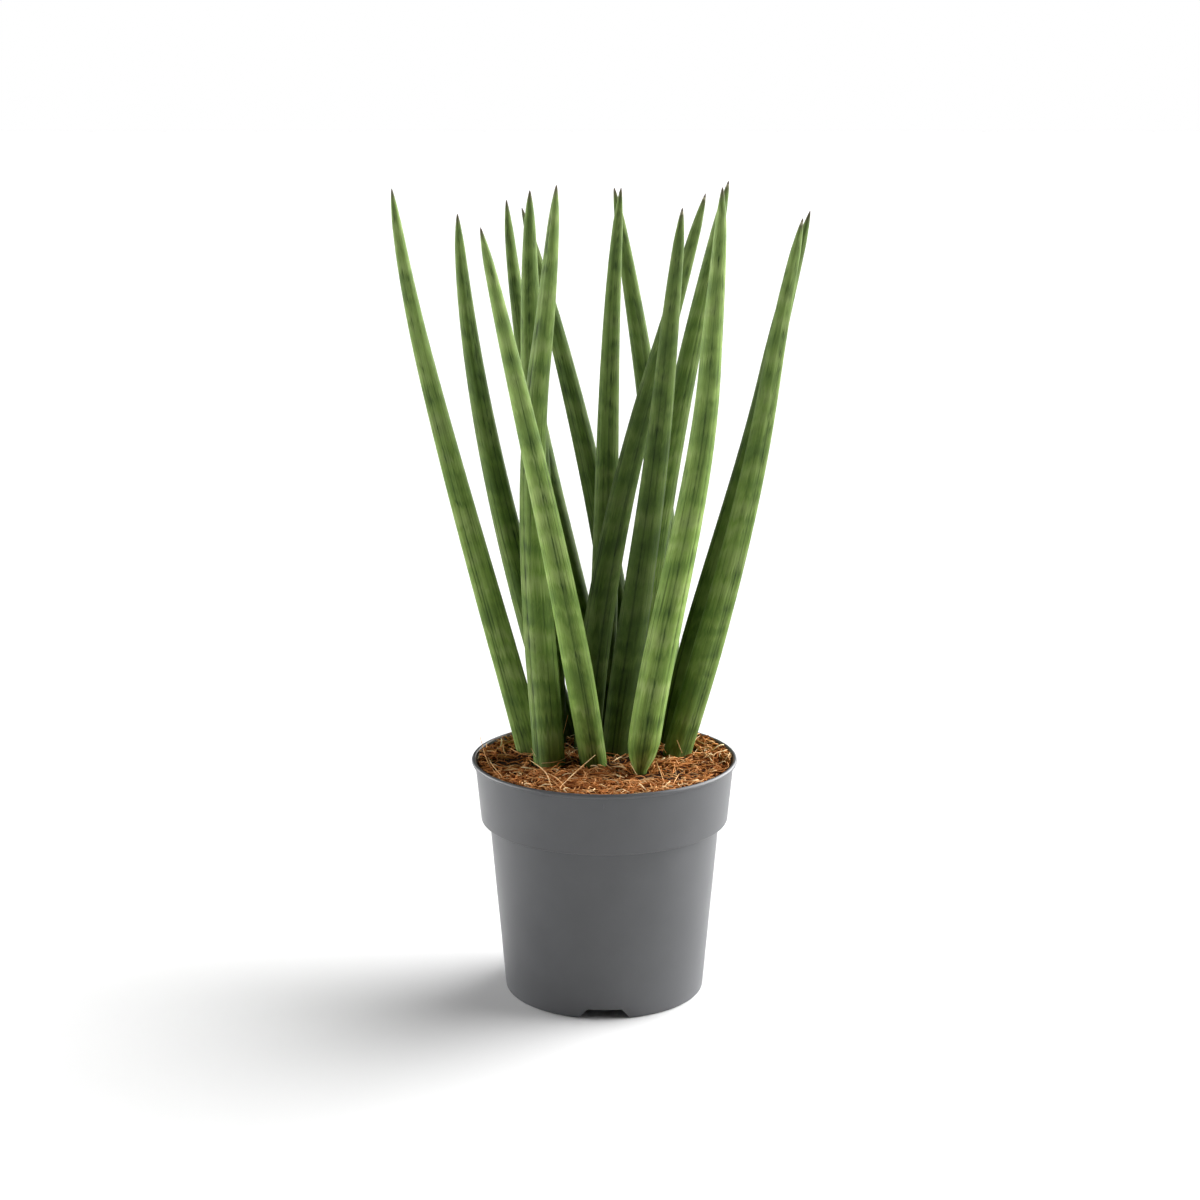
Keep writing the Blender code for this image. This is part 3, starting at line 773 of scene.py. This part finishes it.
MAT_SINK = 0.0004
EDGE_WIDTH = 0.005


def dip(x, y):
    """How far the hollows bring the soil down at a place."""
    depth = 0.0
    for hollow in HOLLOWS:
        away = math.hypot(x - hollow["middle"][0], y - hollow["middle"][1])
        depth += hollow["drop"] * math.exp(-((away / hollow["reach"]) ** 2))
    return depth


def ground(x, y):
    """The height of the mat's top at a place. The soil's own top is lower by the mat's depth."""
    spot = Vector((x, y, 0.0)) / RELIEF_SIZE
    rise = noise.fractal(
        spot, RELIEF_ROUGHNESS, RELIEF_LACUNARITY, RELIEF_OCTAVES, noise_basis="PERLIN_ORIGINAL"
    )
    at_edge = min(1.0, max(0.0, (math.hypot(x, y) - EDGE_START) / EDGE_WIDTH))
    return SOIL_LEVEL - MAT_SINK + RELIEF_HEIGHT * rise + EDGE_RISE * at_edge - dip(x, y)


edge_level = SOIL_LEVEL - SOIL_EDGE_DROP - MAT_DEPTH
soil = pull_up("soil_fill", inner_wall(GAP, edge_level))
for turn in channel_turns:
    carve(soil, channel_bar(turn, WALL + GAP))
for face in soil.data.polygons:
    face.select = face.normal.z > LEVEL_FACE and face.center.z > edge_level - GAP
pick(soil)
bpy.ops.object.mode_set(mode="EDIT")
bpy.ops.mesh.select_mode(type="FACE")
for ring in range(SOIL_RINGS, 1, -1):
    shrink = (ring - 1) / ring
    next_ring((0.0, 0.0, 0.0), (shrink, shrink), (0.0, 0.0, edge_level))
bpy.ops.mesh.extrude_region_move(TRANSFORM_OT_translate={"value": (0.0, 0.0, 0.0)})
bpy.ops.mesh.merge(type="CENTER")
bpy.ops.mesh.select_mode(type="VERT")
bpy.ops.object.mode_set(mode="OBJECT")
soil_edge = collar_radius(edge_level) - WALL - GAP
for vert in soil.data.vertices:
    inside = math.hypot(vert.co.x, vert.co.y) < soil_edge - GAP
    if inside and vert.co.z > edge_level - GAP:
        vert.co.z = ground(vert.co.x, vert.co.y) - MAT_DEPTH
smooth(soil, SOIL_SMOOTH)

# The soil itself is a dark peaty brown, seen only between the fibres that lie on it.
PEAT_BROWNS = ((0.2, (0.010, 0.004, 0.002)), (0.9, (0.070, 0.026, 0.010)))
PEAT_SCALES = (420.0, 1500.0)
PEAT_ROUGHNESS = (0.80, 0.95)
PEAT_RELIEF = (0.9, 0.001)
DUST_GLOSS = 0.06

peat, tree, shader = new_material("dark_peat")
place = put(tree, "TexCoord", {}).outputs["Object"]
cloud, grain = roughen(tree, place, *PEAT_SCALES)
feed(tree, shader.inputs["Base Color"], ramp(tree, cloud, PEAT_BROWNS))
feed(tree, shader.inputs["Roughness"], between(tree, grain, *PEAT_ROUGHNESS))
feed(tree, shader.inputs["Specular IOR Level"], DUST_GLOSS)
emboss(tree, shader, cloud, *PEAT_RELIEF)
soil.data.materials.append(peat)
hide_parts("soil")
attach(soil, "root")

# Coir mat
# The top of the soil is a felt of short coir fibres and crumbs, shreds of coconut husk that matted
# together when they were watered. One fibre and one crumb are modelled and copied at many sizes.
# Both run from about -SHAPE_END to SHAPE_END along x, and are about one unit thick to each side.
SHAPE_END = 0.5
FIBRE_SIDES = 3
FIBRE_SEGMENTS = 5
FIBRE_TAPER = 0.45
CRUMB_SEED = 4
CRUMB_UNEVENNESS = 0.22
MAT_EDGE = 0.0580
EDGE_SPREAD = 0.0010
LEAF_CLEARANCE = 0.0002

# CURL, ARCH and TILT are how far a fibre bends aside, arches up and leans, as shares of its length.
# Fibres on a lump lie higher and are paler, as painted light, and those in a hollow are darker, as painted
# shade. In a layer, lift is the height over the ground, and tone a place among COIR_TONES. The lower layers
# have darker tones, and fibres that lie lower in a layer are darker too: painted shade low in the mat.
CURL = 0.8
ARCH = 0.38
TILT = 0.14
LUMP_SIZE = 0.0026
LUMP_HEIGHT = 0.0007
LUMP_LIGHT_AND_SHADE = 0.35
HOLLOW_SHADE = 45.0
MAT_LAYERS = (
    dict(name="coir_crumbs", shape="crumb", count=3400, seed=4, length=(0.0006, 0.0020),
         radius=(0.00025, 0.00065), lift=(-0.0014, -0.0005), tone=(0.00, 0.45)),
    dict(name="coir_mat_lower", shape="fibre", count=3000, seed=5, length=(0.0030, 0.0075),
         radius=(0.00022, 0.00042), lift=(-0.0013, -0.0003), tone=(0.10, 0.62)),
    dict(name="coir_mat_upper", shape="fibre", count=2400, seed=6, length=(0.0035, 0.0105),
         radius=(0.00019, 0.00038), lift=(-0.0005, 0.0007), tone=(0.40, 0.98)),
)


def take_shape(master):
    """A master's points and faces, and no more master."""
    points = np.array([vert.co for vert in master.data.vertices])
    faces = [tuple(face.vertices) for face in master.data.polygons]
    bpy.data.objects.remove(master, do_unlink=True)
    return points, faces


def model_fibre():
    """One straight fibre, thin at both ends: its points and its faces."""
    pick()
    bpy.ops.mesh.primitive_circle_add(
        vertices=FIBRE_SIDES, radius=FIBRE_TAPER, fill_type="NGON", location=(0.0, 0.0, -SHAPE_END)
    )
    master = settle(bpy.context.object, "fibre")
    begin_pull()
    width = FIBRE_TAPER
    for segment in range(1, FIBRE_SEGMENTS + 1):
        next_width = 1.0 if segment < FIBRE_SEGMENTS else FIBRE_TAPER
        growth = next_width / width
        height = segment / FIBRE_SEGMENTS - SHAPE_END
        next_ring((0.0, 0.0, 1 / FIBRE_SEGMENTS), (growth, growth), (0.0, 0.0, height))
        width = next_width
    end_pull()
    master.rotation_euler.y = math.pi / 2
    settle(master, "fibre")
    return take_shape(master)


def model_crumb():
    """One rough lump: its points and its faces."""
    pick()
    bpy.ops.mesh.primitive_ico_sphere_add(subdivisions=1, radius=1.0)
    master = settle(bpy.context.object, "crumb")
    rng = random.Random(CRUMB_SEED)
    for vert in master.data.vertices:
        vert.co *= 1 + rng.uniform(-CRUMB_UNEVENNESS, CRUMB_UNEVENNESS)
        vert.co.x *= SHAPE_END
    return take_shape(master)


def in_leaf(x, y, z):
    """Which points lie in a leaf, or nearer to it than the clearance."""
    touched = np.zeros(x.shape, bool)
    for leaf in LEAVES:
        share = np.clip((z - SOIL_LEVEL) / (leaf["tip"][2] - SOIL_LEVEL), 0.0, 1.0)
        middle = leaf_centre(leaf, share)
        away = np.hypot(x - middle[0], y - middle[1])
        touched |= away < leaf_radius(leaf, share) + LEAF_CLEARANCE
    return touched


def copy_shapes(name, points, faces, tones):
    """One mesh of many copies: points is (copies, points, 3), and each copy has its own tone."""
    copies, size = points.shape[:2]
    mesh = bpy.data.meshes.new(name)
    all_faces = [tuple(corner + copy * size for corner in face) for copy in range(copies) for face in faces]
    mesh.from_pydata(points.reshape(-1, 3).tolist(), [], all_faces)
    piece = bpy.data.objects.new(name, mesh)
    bpy.context.scene.collection.objects.link(piece)
    mark_number(piece, "tone", np.repeat(tones, size))
    return piece


def from_range(limits, share):
    """The value at a share of the way from the lower limit to the upper one."""
    return limits[0] + (limits[1] - limits[0]) * share


def spread_mat(layer, shape):
    """Lay copies of a shape on the soil at random, clear of the leaves and pressed to the wall."""
    rng = np.random.default_rng(layer["seed"])
    count = layer["count"]
    from_middle = MAT_EDGE * np.sqrt(rng.random(count))
    round_pot = math.tau * rng.random(count)
    heading = math.tau * rng.random(count)
    length = rng.uniform(*layer["length"], count)
    thick = rng.uniform(*layer["radius"], count)
    bend = rng.normal(0.0, CURL, count) * length
    arch = np.abs(rng.normal(0.0, ARCH, count)) * length
    high = rng.random(count)
    tilt = rng.normal(0.0, TILT, count)
    shade = rng.random(count)
    limit = MAT_EDGE - EDGE_SPREAD * rng.random(count)
    middle_x = from_middle * np.cos(round_pot)
    middle_y = from_middle * np.sin(round_pot)
    lump = np.array([noise.noise(Vector((x, y, 0.0)) / LUMP_SIZE) for x, y in zip(middle_x, middle_y)])
    lift = from_range(layer["lift"], high) + LUMP_HEIGHT * lump
    sunk = np.array([dip(x, y) for x, y in zip(middle_x, middle_y)])
    # Painted light and shade: half of a fibre's tone is a random pick of its own and half comes from how
    # high it lies in its layer. Lumps make it paler and hollows make it darker.
    tones = from_range(layer["tone"], (high + shade) / 2) + LUMP_LIGHT_AND_SHADE * lump - HOLLOW_SHADE * sunk
    points, faces = shape
    u, v, w = (points[:, way][None, :] for way in range(3))
    curve = SHAPE_END ** 2 - u ** 2
    ahead = u * length[:, None]
    aside = v * thick[:, None] + bend[:, None] * curve
    turn_x = np.cos(heading)[:, None]
    turn_y = np.sin(heading)[:, None]
    x = middle_x[:, None] + ahead * turn_x - aside * turn_y
    y = middle_y[:, None] + ahead * turn_y + aside * turn_x
    pull = np.minimum(1.0, limit[:, None] / np.hypot(x, y))
    x, y = x * pull, y * pull
    top = np.array([ground(*spot) for spot in zip(x.ravel(), y.ravel())]).reshape(x.shape)
    z = top + w * thick[:, None] + lift[:, None] + tilt[:, None] * ahead + arch[:, None] * curve
    fits = ~in_leaf(x, y, z).any(axis=1)
    return copy_shapes(layer["name"], np.stack((x, y, z), axis=2)[fits], faces, tones[fits])


# Coir runs from dark brown husk to pale straw; each fibre has its own tone, which on the mat is partly
# random and partly painted light and shade from how high the fibre lies, and is uneven along it.
COIR_TONES = (
    (0.00, (0.055, 0.018, 0.005)), (0.25, (0.165, 0.053, 0.014)), (0.50, (0.400, 0.142, 0.038)),
    (0.75, (0.620, 0.255, 0.080)), (0.90, (0.760, 0.430, 0.185)), (1.00, (0.880, 0.690, 0.400)),
)
COIR_SCALES = (300.0, 2500.0)
COIR_SHIFT = (-0.10, 0.10)
COIR_ROUGHNESS = (0.62, 0.80)
COIR_RELIEF = (0.4, 0.0001)

coir, tree, shader = new_material("coir_fibre")
place = put(tree, "TexCoord", {}).outputs["Object"]
cloud, grain = roughen(tree, place, *COIR_SCALES)
tone = put(tree, "Attribute", {}, attribute_name="tone").outputs["Fac"]
shifted = maths(tree, "ADD", tone, between(tree, cloud, *COIR_SHIFT))
feed(tree, shader.inputs["Base Color"], ramp(tree, shifted, COIR_TONES))
feed(tree, shader.inputs["Roughness"], between(tree, grain, *COIR_ROUGHNESS))
feed(tree, shader.inputs["Specular IOR Level"], DUST_GLOSS)
emboss(tree, shader, grain, *COIR_RELIEF)

shapes = {"fibre": model_fibre(), "crumb": model_crumb()}
for layer in MAT_LAYERS:
    mat = spread_mat(layer, shapes[layer["shape"]])
    smooth(mat, math.pi)
    mat.data.materials.append(coir)
    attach(mat, "root")

# Loose straws
# Longer pale fibres that lie loose on the mat, lean on the leaves or stick up over the lip. Points are
# x, y and height over the soil, and thick is the radius, in millimetres. Most of the points were worked
# out by another script, from the pixels where the photograph shows a pale strand.
STRAW_ROUNDNESS = 2
STRAW_STEPS = 8
STRAW_TAPER = 0.6
MILLIMETRES_PER_METRE = 1000
STRAWS = (
    dict(points=((-4.2, -12.5, 5.6), (-11.8, -27.0, 3.0), (-19.4, -46.6, 1.1)), thick=0.24, tone=0.93),
    dict(points=((-28.3, -12.9, 1.9), (-21.6, -11.4, 2.2), (-14.6, 5.6, 2.0)), thick=0.22, tone=0.95),
    dict(points=((-33.6, -8.2, 2.0), (-26.4, -28.5, 2.6), (-22.8, -51.0, 2.0)), thick=0.24, tone=0.92),
    dict(points=((-26.4, -28.5, 2.4), (-21.3, -37.6, 2.6), (-16.7, -51.0, 2.0)), thick=0.22, tone=0.88),
    dict(points=((-24.9, -33.1, 2.0), (-19.3, -51.0, 2.2)), thick=0.20, tone=0.84),
    dict(points=((-57.1, 12.0, 7.1), (-53.1, -6.0, 1.4), (-46.1, -33.1, 1.1)), thick=0.22, tone=0.86),
    dict(points=((-52.6, -2.0, 1.2), (-50.5, -14.0, 1.8), (-44.5, -34.0, 1.1)), thick=0.20, tone=0.90),
    dict(points=((-33.1, -9.0, 7.9), (-30.8, -11.0, 4.3)), thick=0.18, tone=0.92),
    dict(points=((-43.5, 14.6, 1.1), (-38.5, 4.7, 1.4), (-33.0, 1.5, 1.1)), thick=0.18, tone=0.86),
    dict(points=((11.3, -24.0, 5.3), (14.4, -28.0, 0.9)), thick=0.22, tone=0.94),
    dict(points=((25.5, 8.0, 6.3), (28.1, 4.0, 1.8)), thick=0.24, tone=0.82),
    dict(points=((33.0, 2.0, 8.5), (35.4, 3.0, 2.1)), thick=0.20, tone=0.92),
    dict(points=((3.4, -10.0, 1.6), (6.1, -6.0, 2.3), (8.0, -0.2, 1.2)), thick=0.22, tone=0.97),
    dict(points=((-17.6, 8.0, 5.4), (-13.9, 6.0, 3.6)), thick=0.20, tone=0.96),
    dict(points=((-16.8, 20.0, 15.4), (-19.2, 22.0, 5.2)), thick=0.22, tone=0.90),
    dict(points=((23.2, -13.3, 3.0), (24.7, -24.9, 1.9), (26.1, -39.0, 1.2)), thick=0.20, tone=0.90),
    dict(points=((29.8, -45.6, 1.3), (31.2, -38.0, 1.9), (32.9, -30.8, 2.2)), thick=0.20, tone=0.86),
    dict(points=((42.4, 7.5, 2.6), (40.4, 1.8, 1.4)), thick=0.18, tone=0.94),
    dict(points=((45.6, 1.0, 2.8), (47.8, -7.0, 2.4), (49.2, -13.4, 1.5)), thick=0.20, tone=0.92),
    dict(points=((31.2, -13.5, 2.6), (31.7, -28.2, 1.5)), thick=0.18, tone=0.88),
    dict(points=((4.8, -11.0, 1.5), (7.4, -16.0, 2.4), (9.6, -20.5, 1.5)), thick=0.20, tone=0.95),
)


def draw_straw(straw):
    """A thin bent rod through the straw's points, thinner towards its ends, as a mesh."""
    data = bpy.data.curves.new("straw", "CURVE")
    data.dimensions = "3D"
    data.bevel_depth = straw["thick"] / MILLIMETRES_PER_METRE
    data.bevel_resolution = STRAW_ROUNDNESS
    data.use_fill_caps = True
    data.resolution_u = STRAW_STEPS
    line = data.splines.new("BEZIER")
    line.bezier_points.add(len(straw["points"]) - 1)
    for knot, point in zip(line.bezier_points, straw["points"]):
        x, y, height = (size / MILLIMETRES_PER_METRE for size in point)
        lowest = ground(x, y) + data.bevel_depth
        knot.co = (x, y, max(SOIL_LEVEL + height, lowest))
        knot.handle_left_type = "AUTO"
        knot.handle_right_type = "AUTO"
        knot.radius = 1.0
    line.bezier_points[0].radius = STRAW_TAPER
    line.bezier_points[-1].radius = STRAW_TAPER
    rod = bpy.data.objects.new("straw", data)
    bpy.context.scene.collection.objects.link(rod)
    pick(rod)
    bpy.ops.object.convert(target="MESH")
    rod = bpy.context.object
    mark_number(rod, "tone", [straw["tone"]] * len(rod.data.vertices))
    return rod


rods = [draw_straw(straw) for straw in STRAWS]
pick(*rods)
bpy.ops.object.join()
straws = settle(bpy.context.object, "loose_straws")
smooth(straws, math.pi)
straws.data.materials.append(coir)
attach(straws, "root")
